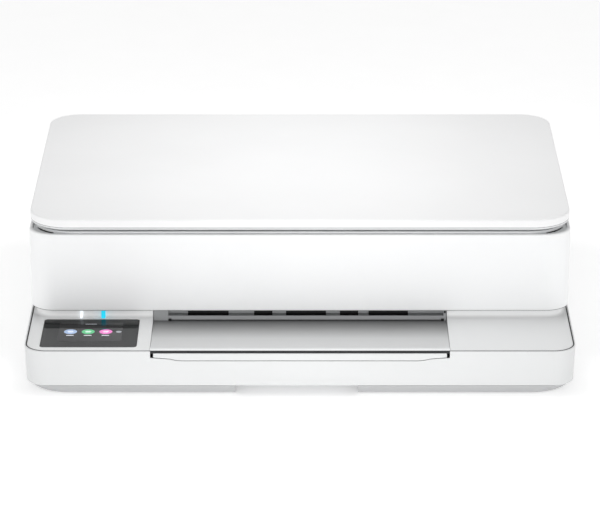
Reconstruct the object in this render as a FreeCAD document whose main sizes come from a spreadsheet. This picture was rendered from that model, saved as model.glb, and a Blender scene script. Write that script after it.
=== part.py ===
import FreeCAD, Part
import math
import os

import Sketcher

# Low, wide inkjet printer with scanner: every casing, moving part and board is its own piece.
# +Z is up, the front faces -Y, and +X is to the right as seen from the front. Millimetres.
# The origin is on the ground at the middle of the printer's footprint.

Vector = FreeCAD.Vector
doc = FreeCAD.newDocument("InkjetPrinter")
sheet = doc.addObject("Spreadsheet::Sheet", "Sizes")
pieces = {}


class Size:
    """A length together with the sheet expression that gives it."""

    def __init__(self, value, text):
        self.value = value
        self.text = text

    def __add__(self, other):
        other = as_size(other)
        return Size(self.value + other.value, f"{self.text} + {other.text}")

    def __radd__(self, other):
        return as_size(other) + self

    def __rsub__(self, other):
        return as_size(other) - self

    def __sub__(self, other):
        other = as_size(other)
        return Size(self.value - other.value, f"{self.text} - ({other.text})")

    def __mul__(self, factor):
        return Size(self.value * factor, f"({self.text}) * {factor}")

    def __truediv__(self, divisor):
        return Size(self.value / divisor, f"({self.text}) / {divisor}")

    def __neg__(self):
        return Size(-self.value, f"(0 - ({self.text}))")


def as_size(length):
    """A bare number as a Size, so that both can be mixed in one sum."""
    if isinstance(length, Size):
        return length
    return Size(float(length), f"({float(length)})")


def size(name, value):
    """Writes one driving dimension to the sheet and returns it."""
    size.row += 1
    sheet.set(f"A{size.row}", name)
    sheet.set(f"B{size.row}", str(value))
    sheet.setAlias(f"B{size.row}", name)
    return Size(float(value), f"Sizes.{name}")


size.row = 0


def bind(thing, prop, length):
    """Binds a property of an object to the sheet."""
    thing.setExpression(prop, as_size(length).text)


# Outer sizes
width = size("width", 433)
depth = size("depth", 361)
half = width / 2
front = -depth / 2
back = depth / 2
wall = size("wall", 2.4)
gap = size("gap", 0.3)
play = size("play", 0.05)

# Levels from the ground up
skirt_bottom = size("skirt_bottom", 0.8)
shell_bottom = size("shell_bottom", 7.9)
deck_level = size("deck_level", 36.7)
unit_bottom = size("unit_bottom", 43.4)
unit_top = size("unit_top", 107.5)
bed_top = size("bed_top", 109.1)
lid_bottom = size("lid_bottom", 111.6)
lid_seam = size("lid_seam", 113.1)
lid_top = size("lid_top", 119.7)

# Casings
base_corner = size("base_corner", 18)
unit_front = size("unit_front", -106.5)
unit_back = size("unit_back", 179.5)
unit_corner = size("unit_corner", 20)
lid_corner = size("lid_corner", 32)
lid_rear_corner = size("lid_rear_corner", 26)
deck_edge = size("deck_edge", 1.8)
deck_front_edge = size("deck_front_edge", 2.4)
base_lean = size("base_lean", 1.25)
bay_half = size("bay_half", 117.7)
fascia_end = size("fascia_end", -150)

# Hinge axes
unit_axis_y = size("unit_axis_y", 170)
unit_axis_z = size("unit_axis_z", 50)
lid_axis_y = size("lid_axis_y", 177.3)
lid_axis_z = size("lid_axis_z", 113)

# Paper path and drive
tray_half = size("tray_half", 124)
tray_back = size("tray_back", 132)
sheet_half = size("sheet_half", 108)
feed_y = size("feed_y", 40)
shaft_z = size("shaft_z", 33.5)
gear_module = size("gear_module", 1)
gear_x = size("gear_x", -174)
gear_width = size("gear_width", 6)
rail_y = size("rail_y", 60)
belt_z = size("belt_z", 70)
pulley_radius = size("pulley_radius", 5)
park_x = size("park_x", 150)


# Shapes that the pieces share

def box(name, x, y, z):
    """A block between two corners, given as (low, high) along each axis."""
    block = doc.addObject("Part::Box", name)
    spans = (("Length", "x", x), ("Width", "y", y), ("Height", "z", z))
    for prop, axis, (low, high) in spans:
        bind(block, prop, as_size(high) - low)
        bind(block, f"Placement.Base.{axis}", low)
    return block


TURN = {
    "x": FreeCAD.Rotation(Vector(0, 1, 0), 90),
    "y": FreeCAD.Rotation(Vector(1, 0, 0), -90),
    "z": FreeCAD.Rotation(),
}


def rod(name, axis, start, radius, length):
    """A round bar along an axis, from its start point (x, y, z)."""
    bar = doc.addObject("Part::Cylinder", name)
    bar.Placement = FreeCAD.Placement(Vector(), TURN[axis])
    bind(bar, "Radius", radius)
    bind(bar, "Height", length)
    for letter, place in zip("xyz", start):
        bind(bar, f"Placement.Base.{letter}", place)
    return bar


def fuse(name, *parts):
    """Several shapes moulded as one."""
    joined = doc.addObject("Part::MultiFuse", name)
    joined.Shapes = list(parts)
    joined.Refine = True
    return joined


def cut(name, base, *tools):
    """A shape with one or more others taken out of it."""
    tool = tools[0]
    if len(tools) > 1:
        tool = fuse(name + "_cuts", *tools)
    result = doc.addObject("Part::Cut", name)
    result.Base = base
    result.Tool = tool
    result.Refine = True
    return result


def group(name, *parts):
    """Separate solids of one kind that share a name."""
    together = doc.addObject("Part::Compound", name)
    together.Links = list(parts)
    return together


def plane(body, role):
    """One of a body's own origin planes."""
    return next(f for f in body.Origin.OriginFeatures if f.Role == role)


def place_sketch(sketch, body, role, x, y, z):
    """Attaches a sketch to an origin plane, moved by x, y along it and z off it."""
    sketch.AttachmentSupport = [(plane(body, role), "")]
    sketch.MapMode = "FlatFace"
    for letter, place in zip("xyz", (x, y, z)):
        bind(sketch, f"AttachmentOffset.Base.{letter}", place)


def rounded_plate(name, x, y, z, front_radius, rear_radius=None, draft=0):
    """A flat block with rounded upright corners, padded from a sketch of its outline."""
    rear_radius = rear_radius or front_radius
    length = as_size(x[1]) - x[0]
    reach = as_size(y[1]) - y[0]
    body = doc.addObject("PartDesign::Body", name)
    sketch = body.newObject("Sketcher::SketchObject", name + "_outline")
    place_sketch(sketch, body, "XY_Plane", x[0], y[0], z[0])
    a, b = length.value, reach.value
    f, r = as_size(front_radius).value, as_size(rear_radius).value
    runs = [((f, 0), (a - f, 0)), ((a, f), (a, b - r)), ((a - r, b), (r, b)), ((0, b - r), (0, f))]
    for start, end in runs:
        sketch.addGeometry(Part.LineSegment(Vector(*start, 0), Vector(*end, 0)))
    corners = [((a - f, f), f, -90), ((a - r, b - r), r, 0), ((r, b - r), r, 90), ((f, f), f, 180)]
    for centre, radius, start in corners:
        circle = Part.Circle(Vector(*centre, 0), Vector(0, 0, 1), radius)
        first, last = math.radians(start), math.radians(start + 90)
        sketch.addGeometry(Part.ArcOfCircle(circle, first, last))
    for line in range(4):
        sketch.addConstraint(Sketcher.Constraint("Horizontal" if line % 2 == 0 else "Vertical", line))
        sketch.addConstraint(Sketcher.Constraint("Tangent", line, 2, 4 + line, 1))
        sketch.addConstraint(Sketcher.Constraint("Tangent", 4 + line, 2, (line + 1) % 4, 1))
    sketch.addConstraint(Sketcher.Constraint("PointOnObject", 0, 1, -1))
    sketch.addConstraint(Sketcher.Constraint("PointOnObject", 3, 1, -2))
    sketch.addConstraint(Sketcher.Constraint("Equal", 4, 7))
    sketch.addConstraint(Sketcher.Constraint("Equal", 5, 6))
    sizes = [
        (Sketcher.Constraint("DistanceX", 3, 1, 1, 1, a), "length", length),
        (Sketcher.Constraint("DistanceY", 0, 1, 2, 1, b), "reach", reach),
        (Sketcher.Constraint("Radius", 4, f), "front_radius", front_radius),
        (Sketcher.Constraint("Radius", 5, r), "rear_radius", rear_radius),
    ]
    for constraint, label, length in sizes:
        index = sketch.addConstraint(constraint)
        sketch.renameConstraint(index, label)
        bind(sketch, "Constraints." + label, length)
    pad = body.newObject("PartDesign::Pad", name + "_pad")
    pad.Profile = sketch
    pad.TaperAngle = draft
    bind(pad, "Length", as_size(z[1]) - z[0])
    return body


def round_rim(body, radius, level):
    """Rounds every edge of a body's last feature that lies at one height."""
    doc.recompute()
    last = body.Tip
    height = as_size(level).value
    names = []
    for number, edge in enumerate(last.Shape.Edges, 1):
        if all(abs(point.Point.z - height) < 1e-4 for point in edge.Vertexes):
            names.append(f"Edge{number}")
    rim = body.newObject("PartDesign::Fillet", body.Name + "_rim")
    rim.Base = (last, names)
    bind(rim, "Radius", radius)
    return body


def draw_outline(sketch, points):
    """Closed outline through the points, with both places of each bound to the sheet."""
    count = len(points)
    values = [(as_size(across).value, as_size(up).value) for across, up in points]
    for i in range(count):
        start, end = values[i], values[(i + 1) % count]
        sketch.addGeometry(Part.LineSegment(Vector(*start, 0), Vector(*end, 0)))
    for i in range(count):
        sketch.addConstraint(Sketcher.Constraint("Coincident", i, 2, (i + 1) % count, 1))
        for kind, value, length in (("DistanceX", values[i][0], points[i][0]),
                                    ("DistanceY", values[i][1], points[i][1])):
            index = sketch.addConstraint(Sketcher.Constraint(kind, -1, 1, i, 1, value))
            label = f"{kind}{i}"
            sketch.renameConstraint(index, label)
            bind(sketch, "Constraints." + label, length)


def profile_bar(name, points, x):
    """A bar along X whose section is a closed outline of (y, z) points."""
    body = doc.addObject("PartDesign::Body", name)
    sketch = body.newObject("Sketcher::SketchObject", name + "_section")
    place_sketch(sketch, body, "YZ_Plane", 0, 0, x[0])
    draw_outline(sketch, points)
    pad = body.newObject("PartDesign::Pad", name + "_pad")
    pad.Profile = sketch
    bind(pad, "Length", as_size(x[1]) - x[0])
    return body


def outline_block(name, points, y):
    """A block along Y whose section is a closed outline of (x, z) points."""
    body = doc.addObject("PartDesign::Body", name)
    sketch = body.newObject("Sketcher::SketchObject", name + "_outline")
    place_sketch(sketch, body, "XZ_Plane", 0, 0, -as_size(y[0]))
    draw_outline(sketch, points)
    pad = body.newObject("PartDesign::Pad", name + "_pad")
    pad.Profile = sketch
    pad.Reversed = True
    bind(pad, "Length", as_size(y[1]) - y[0])
    return body


def gear(name, teeth, x, y, z, hub_hole, phase=0.0):
    """A spur gear that turns about X, with flat-sided teeth cut a little slim so that it runs free."""
    module = gear_module.value
    pitch = module * teeth / 2
    step = 2 * math.pi / teeth
    points = []
    for tooth in range(teeth):
        middle = phase + tooth * step
        for share, radius in ((-0.29, -1.2), (-0.12, 0.9), (0.12, 0.9), (0.29, -1.2)):
            angle = middle + share * step
            reach = pitch + radius * module
            points.append(Vector(0, reach * math.cos(angle), reach * math.sin(angle)))
    points.append(points[0])
    disc = Part.Face(Part.makePolygon(points)).extrude(Vector(gear_width.value, 0, 0))
    if hub_hole:
        disc = disc.cut(Part.makeCylinder(hub_hole, gear_width.value, Vector(), Vector(1, 0, 0)))
    wheel = doc.addObject("Part::Feature", name)
    wheel.Shape = disc
    wheel.Placement = FreeCAD.Placement(Vector(x, y, z), FreeCAD.Rotation())
    return wheel


def keep(node, thing):
    """Names a finished piece."""
    thing.Label = node
    pieces[node] = thing


# Base

def make_skirt():
    """Foot moulding: tapers in towards the ground, with the finger recess at the front."""
    inset = size("skirt_inset", 3.2)
    front_inset = size("skirt_front_inset", 4.7)
    lower_corner = size("skirt_corner", 32)
    rings = []
    upper = (base_lean + gap).value
    outlines = ((shell_bottom - gap, upper, upper, base_corner.value),
                (skirt_bottom, inset.value, front_inset.value, lower_corner.value))
    for level, side, end, corner in outlines:
        low = Vector(-half.value + side, front.value + end, as_size(level).value)
        high = Vector(half.value - side, back.value - end, low.z)
        plate = Part.makeBox(high.x - low.x, high.y - low.y, 1, low)
        upright = [e for e in plate.Edges if abs(e.Vertexes[0].Z - e.Vertexes[1].Z) > 0.5]
        rounded = plate.makeFillet(corner, upright)
        flat = min(rounded.Faces, key=lambda face: face.CenterOfMass.z)
        rings.append(flat.OuterWire)
    solid = doc.addObject("Part::Feature", "skirt_block")
    solid.Shape = Part.makeLoft(rings, True, True)
    reach = size("skirt_wall", 9)
    inner = rounded_plate("skirt_inside", (-half + reach, half - reach), (front + reach, back - reach),
                          (0, deck_level), size("skirt_inner_corner", 19))
    recess = box("skirt_recess", (recess_left, recess_right), (front - 1, front + recess_depth),
                 (0, deck_level))
    keep("skirt", cut("skirt_ring", solid, inner, recess))


recess_left = size("recess_left", -50.5)
recess_right = size("recess_right", 45.5)
recess_depth = size("recess_depth", 30)


def make_chassis():
    """Floor moulding inside the skirt, with the posts that carry the drive shafts."""
    reach = size("chassis_inset", 9)
    floor = rounded_plate("chassis_floor", (-half + reach, half - reach), (front + reach, back - reach),
                          (size("chassis_bottom", 3), size("chassis_top", 5)), size("chassis_corner", 19))
    recess = box("chassis_recess", (recess_left, recess_right), (front, front + recess_depth), (0, 6))
    runners = []
    for side in (-1, 1):
        edge = tray_half * side + 1.6 * side
        far = edge + 2.4 * side
        low, high = (edge, far) if side > 0 else (far, edge)
        runners.append(box("tray_runner", (low, high), (fascia_end, tray_back), (4, 16)))
    keep("base_chassis", fuse("chassis", cut("chassis_plate", floor, recess), *runners))


def base_outline(name):
    """Outer form of the base: its walls lean in towards the ground so that it leaves the mould."""
    draft = math.degrees(math.atan2(base_lean.value, (deck_level - shell_bottom).value))
    return rounded_plate(name, (-half + base_lean, half - base_lean), (front + base_lean, back - base_lean),
                         (shell_bottom, deck_level), base_corner - base_lean, draft=draft)


def make_base_shell():
    """Side and rear casing of the base; the front is the tray's own fascia."""
    outer = base_outline("shell_outer")
    inner = rounded_plate("shell_inner", (-half + wall, half - wall), (front + wall, back - wall),
                          (0, deck_level - wall), base_corner - wall)
    ledge = rounded_plate("shell_ledge", (-half + 1, half - 1), (front + 1, back - 1),
                          (deck_level - wall - 0.1, 50), base_corner - 1)
    nose = box("shell_nose", (-half - 1, half + 1), (front - 1, fascia_end + gap), (0, 60))
    socket_x = size("inlet_x", 185)
    inlet = box("inlet_window", (socket_x - 11, socket_x + 11), (170, 190), (12, 26))
    usb = box("usb_window", (-socket_x - 6.5, -socket_x + 6.5), (170, 190), (12, 24))
    holes = [rod("button_hole", "y", (x, 170, 22), 5.3, 20) for x in (button_x, button_x + 22)]
    keep("base_shell", cut("base_casing", outer, inner, ledge, nose, inlet, usb, *holes))
    inlet_body = box("inlet_body", (socket_x - 10.8, socket_x + 10.8), (160, back - 0.5), (12.2, 25.8))
    mouth = box("inlet_mouth", (socket_x - 8, socket_x + 8), (164, back + 1), (14.5, 23.5))
    pins = [rod("inlet_pin", "y", (socket_x + side * 3.6, 164, 19), 1.1, 12) for side in (-1, 1)]
    keep("power_inlet", fuse("inlet", cut("inlet_shell", inlet_body, mouth), *pins))
    usb_body = box("usb_body", (-socket_x - 6.2, -socket_x + 6.2), (162, back - 0.5), (12.3, 23.7))
    usb_mouth = box("usb_mouth", (-socket_x - 4.4, -socket_x + 4.4), (166, back + 1), (13.8, 22.2))
    tongue = box("usb_tongue", (-socket_x - 2.6, -socket_x + 2.6), (166, back - 2), (16.6, 19.4))
    keep("usb_socket", fuse("usb", cut("usb_shell", usb_body, usb_mouth), tongue))


button_x = size("button_x", 60)


def make_buttons():
    """Power and wireless buttons in the rear wall, each a round cap on a stem."""
    for node, x in (("power_button", button_x), ("wireless_button", button_x + 22)):
        cap = rod("button_cap", "y", (x, back - 4.5, 22), 5, 4.2)
        stem = rod("button_stem", "y", (x, back - 12, 22), 2, 8)
        keep(node, fuse(node + "_moulding", cap, stem))


def make_deck():
    """Deck plate inside the shell's rim, and the neck that rises under the scanner unit."""
    edge = deck_edge
    under = deck_level - wall
    plate = rounded_plate("deck_plate", (-half + edge, half - edge), (front + deck_front_edge, back - edge),
                          (under, deck_level), base_corner - edge)
    round_rim(plate, size("deck_rim", 0.7), deck_level)
    neck_half = size("neck_half", 211.5)
    neck_back = size("neck_back", 160)
    face = unit_front + 3
    neck = rounded_plate("neck_block", (-neck_half, neck_half), (face, neck_back),
                         (under, unit_bottom - gap), size("neck_corner", 15))
    sweep = size("neck_cove", 3)
    rim = []
    for step in range(9):
        angle = math.radians(90 * step / 8)
        rim.append((sweep.value * (1 - math.sin(angle)), sweep.value * (1 - math.cos(angle))))
    layers = []
    for (out_low, low), (out_high, high) in zip(rim, rim[1:]):
        wires = []
        for out, rise in ((out_low, low), (out_high, high)):
            level = deck_level.value + rise
            wires.append(neck_outline(neck_half.value, face.value, neck_back.value, out, level))
        layers.append(Part.makeLoft(wires, True, True))
    cove = doc.addObject("Part::Feature", "neck_cove_ring")
    cove.Shape = layers[0].multiFuse(layers[1:])
    inside = rounded_plate("neck_inside", (-neck_half + 3, neck_half - 3), (face + 3, neck_back - 3),
                           (0, 60), 12)
    bay = box("bay_cut", (-bay_half, bay_half), (front - 1, face + 8), (0, 60))
    window = rounded_plate("display_window", (display[0] - 0.2, display[1] + 0.2),
                           (display[2] - 0.2, display[3] + 0.2), (30, 40), 3.2)
    lights = []
    for x, reach in light_places:
        lights.append(box("light_slot", (x - reach - play, x + reach + play), (face - 4, face + 6),
                          (36.2, 60)))
    towers = [box("tower_slot", (x - 4.2, x + 4.2), (neck_back + 2, 178), (30, 40)) for x in tower_places]
    body = fuse("deck_body", plate, neck, cove)
    opened = cut("deck_opened", body, inside, bay, window, *lights, *towers)
    walls = []
    for side in (-1, 1):
        near = bay_half * side
        far = near + 1.8 * side
        low, high = (near, far) if side > 0 else (far, near)
        walls.append(box("bay_wall", (low, high), (front + 6, face + 5), (bay_floor, deck_level - 0.6)))
    keep("top_deck", fuse("deck", opened, *walls))


def neck_outline(half_width, low_y, high_y, out, level):
    """Rounded outline of the neck, grown by out, at one height."""
    low = Vector(-half_width - out, low_y - out, level)
    plate = Part.makeBox(2 * (half_width + out), high_y - low_y + 2 * out, 1, low)
    upright = [e for e in plate.Edges if abs(e.Vertexes[0].Z - e.Vertexes[1].Z) > 0.5]
    flat = min(plate.makeFillet(15 + out, upright).Faces, key=lambda f: f.CenterOfMass.z)
    return flat.OuterWire


display = [size("display_left", -204.2), size("display_right", -128.2),
           size("display_front", -171), size("display_back", -108.8)]
bay_floor = size("bay_floor", 31)
light_places = [(size("white_light_x", -175.2), size("white_light_reach", 0.9)),
                (size("blue_light_x", -157.5), size("blue_light_reach", 1.6))]
tower_places = [size("left_tower_x", -151), size("right_tower_x", 151)]


def make_display():
    """Touch glass in the deck, the colour panel under it and the board that drives both."""
    glass = rounded_plate("glass_plate", (display[0], display[1]), (display[2], display[3]),
                          (deck_level - 1.4, deck_level - 0.1), 3)
    keep("display_glass", glass)
    panel = box("lcd", (display[0] + 8, display[1] - 8), (display[2] + 8, display[3] - 6),
                (deck_level - 3.4, deck_level - 1.4))
    keep("display_panel", panel)
    board = box("touch_board", (display[0] - 2, display[1] + 4), (display[2] + 2, display[3] - 1),
                (deck_level - 5, deck_level - 3.4))
    chip = box("touch_chip", (-180, -168), (-150, -138), (deck_level - 6.4, deck_level - 5))
    keep("control_board", fuse("touch_control", board, chip))


def make_lights():
    """Two clear light pipes that come out through the neck's face."""
    for node, (x, reach) in zip(("status_light_white", "status_light_blue"), light_places):
        tip = box(node + "_tip", (x - reach, x + reach), (unit_front + 1, unit_front + 6.4),
                  (deck_level - 0.3, unit_bottom - 0.8))
        keep(node, tip)


def make_output():
    """Sloping plate for printed sheets, and the guide with its lip, windows and end blocks."""
    points = [(front + 1.3, deck_level - 0.1), (-177, deck_level - 0.1), (-171, 35.8), (-164, 34.8), (-156, 34),
              (-146, 33.5), (-132, 33.4), (-114, 33.5), (-96, 33.7), (-96, 31), (-148, 31.3), (-164, 32.6),
              (-175, 34.6), (-177.4, 35.9), (front + 1.3, 36)]
    keep("output_plate", profile_bar("catch_plate", points, (-bay_half + 0.2, bay_half - 0.2)))
    lip = box("guide_lip", (-106, 116), (-104, -96), (34.6, 37.9))
    floor = box("guide_floor", (-116, 116), (-98, 22), (36.8, 37.9))
    tyre_gaps = [box("tyre_gap", (x - 7, x + 7), (-40, -22), (30, 50)) for x in tyre_places]
    screen = box("guide_screen", (-116.5, 116.5), (-97.5, -95.5), (36.3, 48.6))
    windows = []
    for low, high in ((-90, -57.3), (-36.9, -22.1), (-11.3, 21), (32, 46.8), (55, 86.8)):
        windows.append(box("guide_window", (low, high), (-103, -94), (37, 46)))
    left = box("guide_block", (-117.2, -105.6), (-104.5, -97.5), (33.95, 43))
    right = box("guide_end", (115, 117.2), (-104.5, -97.5), (33.95, 43))
    pocket = box("end_pocket", (115.3, 116.9), (-105, -99), (40.1, 42.3))
    slots = [box("guide_slot", (low, low + 2.6), (-105, -99), (30, 35.4)) for low in (-105.6, 113)]
    plate = cut("guide_plate", fuse("guide_mass", lip, floor, screen), *tyre_gaps, *windows, *slots)
    keep("exit_guide", fuse("guide", plate, left, cut("guide_end_cut", right, pocket)))


tyre_places = [size("tyre_one", -84), size("tyre_two", -28), size("tyre_three", 28), size("tyre_four", 84)]


def make_feet():
    """Four rubber pads, pressed into the skirt's underside."""
    pads = []
    for x in (-170, 170):
        for y in (-140, 140):
            pads.append(rod("pad", "z", (x, y, 0), foot_radius, 3))
    keep("rubber_feet", group("feet", *pads))


foot_radius = size("foot_radius", 9)


# Mechanism

def make_frame():
    """Two upright plates and their cross bar, with the bearings of every shaft."""
    left = box("left_plate", (-166, -163), (-93, 126), (5, 60))
    right = box("right_plate", (194, 197), (-60, 100), (5, 60))
    post = box("bearing_post", (129, 132), (-42, 122), (5, 40))
    towers = []
    for x in tower_places:
        towers.append(box("hinge_tower", (x - 3, x + 3), (unit_axis_y - 5.5, unit_axis_y + 1.2),
                          (5, unit_axis_z)))
        towers.append(rod("hinge_eye", "x", (x - 3, unit_axis_y, unit_axis_z), 5.5, 6))
    shafts = (feed_y, out_y, pick_y)
    holes = [rod("shaft_hole", "x", (-170, y, shaft_z), shaft_radius + play, 310) for y in shafts]
    holes += [rod("pin_hole", "x", (x - 5, unit_axis_y, unit_axis_z), 3, 10) for x in tower_places]
    studs = [rod("idler_stud", "x", (-175, y, shaft_z), 2.5, 12) for y in idler_places]
    plates = cut("frame_plates", fuse("frame_mass", left, right, post, *towers), *holes)
    keep("mechanism_frame", fuse("frame", plates, *studs))
    pins = [rod("unit_pin", "x", (low, unit_axis_y, unit_axis_z), 3, 16) for low in (-164, 148)]
    keep("unit_hinge_pins", group("hinge_pins", *pins))


shaft_radius = size("shaft_radius", 3)
out_y = size("out_y", -30)
pick_y = size("pick_y", 110)
idler_places = [size("front_idler_y", 2), size("rear_idler_y", 78)]
FEED_TEETH = 40
OUT_TEETH = 28
IDLER_TEETH = 36
PINION_TEETH = 12


def meshing_phase(teeth, towards, tooth):
    """Turn of a gear that puts a tooth (or a gap) on the line towards its neighbour."""
    step = 2 * math.pi / teeth
    return towards if tooth else towards + step / 2


def make_drive():
    """Feed motor's pinion and the train that turns the feed, output and pick shafts."""
    y, z, x = feed_y.value, shaft_z.value, gear_x.value
    keep("feed_gear", gear("feed_wheel", FEED_TEETH, x, y, z, 3, 0))
    idlers = (("transfer_gear_front", idler_places[0], 0), ("transfer_gear_rear", idler_places[1], math.pi))
    for node, place, towards in idlers:
        phase = meshing_phase(IDLER_TEETH, towards, False)
        keep(node, gear(node + "_wheel", IDLER_TEETH, x, place.value, z, 2.55, phase))
    shaft = rod("feed_bar", "x", (gear_x - 1, feed_y, shaft_z), shaft_radius, 308)
    keep("feed_shaft", shaft)
    tyres = []
    for place in tyre_places:
        tyre = rod("tyre", "x", (place - 6, feed_y, shaft_z), 5.3, 12)
        hole = rod("tyre_hole", "x", (place - 7, feed_y, shaft_z), shaft_radius, 14)
        tyres.append(cut("feed_tyre", tyre, hole))
    keep("feed_tyres", group("tyres", *tyres))
    for node, place, towards in (("output_shaft", out_y, 0), ("pick_shaft", pick_y, math.pi)):
        bar = rod(node + "_bar", "x", (gear_x - 1, place, shaft_z), shaft_radius, 308)
        phase = meshing_phase(OUT_TEETH, towards, True)
        wheel = gear(node + "_wheel", OUT_TEETH, x, place.value, z, 0, phase)
        keep(node, fuse(node + "_moulding", bar, wheel))
    rollers = []
    for place in tyre_places:
        roller = rod("exit_tyre", "x", (place - 5, out_y, shaft_z), 5, 10)
        hole = rod("exit_hole", "x", (place - 6, out_y, shaft_z), shaft_radius, 12)
        rollers.append(cut("output_tyre", roller, hole))
    keep("output_tyres", group("exit_tyres", *rollers))
    pick = rod("pick_drum", "x", (-18, pick_y, shaft_z), 12, 36)
    pick_hole = rod("pick_hole", "x", (-19, pick_y, shaft_z), shaft_radius, 38)
    keep("pick_roller", cut("pick_tyre", pick, pick_hole))
    reach = (FEED_TEETH + PINION_TEETH) / 2 * gear_module.value
    pinion_z = z + reach
    pinion_phase = meshing_phase(PINION_TEETH, -math.pi / 2, False)
    keep("feed_pinion", gear("pinion", PINION_TEETH, x, y, pinion_z, 1.5, pinion_phase))
    can = rod("feed_motor_can", "x", (-201, feed_y, pinion_z), 11, 25)
    spindle = rod("feed_motor_spindle", "x", (-177, feed_y, pinion_z), 1.45, 9)
    keep("feed_motor", fuse("feed_motor_body", can, spindle))
    wheels = []
    for place in tyre_places:
        wheels.append(rod("pinch_wheel", "x", (place - 5, feed_y, shaft_z + 5.3 + 0.2 + 3), 3, 10))
    axle = rod("pinch_axle", "x", (-98, feed_y, shaft_z + 8.5), 1.2, 196)
    keep("pinch_rollers", fuse("pinch", axle, *wheels))


def make_carriage_drive():
    """Rail, belt, pulleys, motor and encoder strip behind the carriage."""
    web = box("rail_web", (-163, 194), (rail_y, rail_y + 2), (48, 82))
    flange = box("rail_flange", (-163, 194), (rail_y - 12, rail_y), (80, 82))
    motor_hole = rod("rail_hole", "y", (belt_left, rail_y - 2, belt_z), 4, 8)
    pin = rod("idler_axle", "y", (belt_right, rail_y - 7, belt_z), 1.5, 7)
    keep("carriage_rail", fuse("rail", cut("rail_plate", fuse("rail_mass", web, flange), motor_hole), pin))
    for node, x in (("motor_pulley", belt_left), ("idler_pulley", belt_right)):
        drum = rod(node + "_drum", "y", (x, rail_y - 7, belt_z), pulley_radius - 0.6, 5)
        hole = rod(node + "_hole", "y", (x, rail_y - 8, belt_z), 1.55, 7)
        keep(node, cut(node + "_wheel", drum, hole))
    can = rod("carriage_motor_can", "y", (belt_left, rail_y + 2, belt_z), 11, 24)
    spindle = rod("carriage_motor_spindle", "y", (belt_left, rail_y - 7, belt_z), 1.5, 10)
    keep("carriage_motor", fuse("carriage_motor_body", can, spindle))
    loops = []
    for radius, y, length in ((pulley_radius, rail_y - 6.5, 4), (pulley_radius - 0.5, rail_y - 7, 5)):
        ends = [rod("belt_end", "y", (x, y, belt_z), radius, length) for x in (belt_left, belt_right)]
        run = box("belt_run", (belt_left, belt_right), (y, y + length), (belt_z - radius, belt_z + radius))
        loops.append(fuse("belt_loop", run, *ends))
    keep("carriage_belt", cut("belt", loops[0], loops[1]))
    keep("encoder_strip", box("strip", (-160, 190), (58.6, 59), (52, 58)))


belt_left = size("belt_left", -150)
belt_right = size("belt_right", 184)


def make_carriage():
    """Carriage with two bays, its cartridges, and the flap latch in front of each."""
    low, high = park_x - 38, park_x + 38
    mass = box("carriage_block", (low, high), (-14, 34), (41, 77))
    bays = []
    for centre in (park_x - 18, park_x + 18):
        bays.append(box("bay", (centre - 15, centre + 15), (-16, 30), (44, 80)))
        bays.append(box("nozzle_hole", (centre - 8, centre + 8), (-4, 16), (40, 46)))
    clamp = box("belt_clamp", (park_x - 8, park_x + 8), (33, 56), (60, belt_z - pulley_radius - 0.3))
    hook = box("rail_hook", (park_x - 14, park_x + 14), (33, 52), (74, 79.7))
    sides = (("black", park_x - 18), ("colour", park_x + 18))
    pivots = [rod("latch_pin", "x", (centre - 17.5, latch_y, latch_z), 1, 35) for _, centre in sides]
    for x in (park_x - 36.5, park_x - 0.8, park_x + 34.9):
        pivots.append(box("latch_ear", (x, x + 1.6), (latch_y - 2, -13), (latch_z - 2, latch_z + 2)))
    keep("carriage", fuse("carriage_moulding", cut("carriage_bays", mass, *bays), clamp, hook, *pivots))
    for side, centre in sides:
        tank = box("tank", (centre - 14.5, centre + 14.5), (-12, 29), (44, 72))
        nozzle = box("nozzle", (centre - 7.5, centre + 7.5), (-3, 15), (40.5, 44))
        keep("cartridge_" + side, fuse("cartridge_" + side + "_body", tank, nozzle))
        across = (centre - 14.5, centre + 14.5)
        through = (latch_y - 1.1, latch_y + 1.1)
        flap = box("flap", across, through, (latch_z + 2.4, 74))
        barrel = rod("flap_barrel", "x", (centre - 14.5, latch_y, latch_z), 2.4, 29)
        bore = rod("flap_bore", "x", (centre - 15, latch_y, latch_z), 1.05, 30)
        web = box("flap_web", across, through, (latch_z, latch_z + 3))
        keep("latch_" + side, cut("latch_" + side + "_flap", fuse("flap_mass", flap, barrel, web), bore))


latch_y = size("latch_y", -16.8)
latch_z = size("latch_z", 46.5)


def make_service():
    """Capping and wiping station under the parked carriage."""
    tub = box("service_tub", (134, 190), (-18, 40), (10, 30))
    hollow = box("service_hollow", (136, 188), (-16, 38), (12, 34))
    caps = [box("service_cap", (x - 6, x + 6), (-2, 14), (12, 39.5)) for x in (142, park_x + 18)]
    keep("service_station", fuse("service", cut("service_shell", tub, hollow), *caps))


def make_electronics():
    """Main board with its parts, and the power supply, on the chassis beside the tray."""
    board = box("pcb", (134, 192), (-150, -20), (9, 10.6))
    chips = ((150, -120, 18), (140, -80, 10), (170, -60, 12))
    parts = [box("chip", (x, x + w), (y, y + w), (10.6, 13)) for x, y, w in chips]
    legs = [rod("stand_off", "z", (x, y, 5), 2.5, 4) for x in (138, 188) for y in (-146, -26)]
    keep("main_board", fuse("board", board, *parts, *legs))
    keep("power_supply", rounded_plate("supply", (136, 192), (64, 146), (5, 40), 3))


# Paper tray

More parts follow.
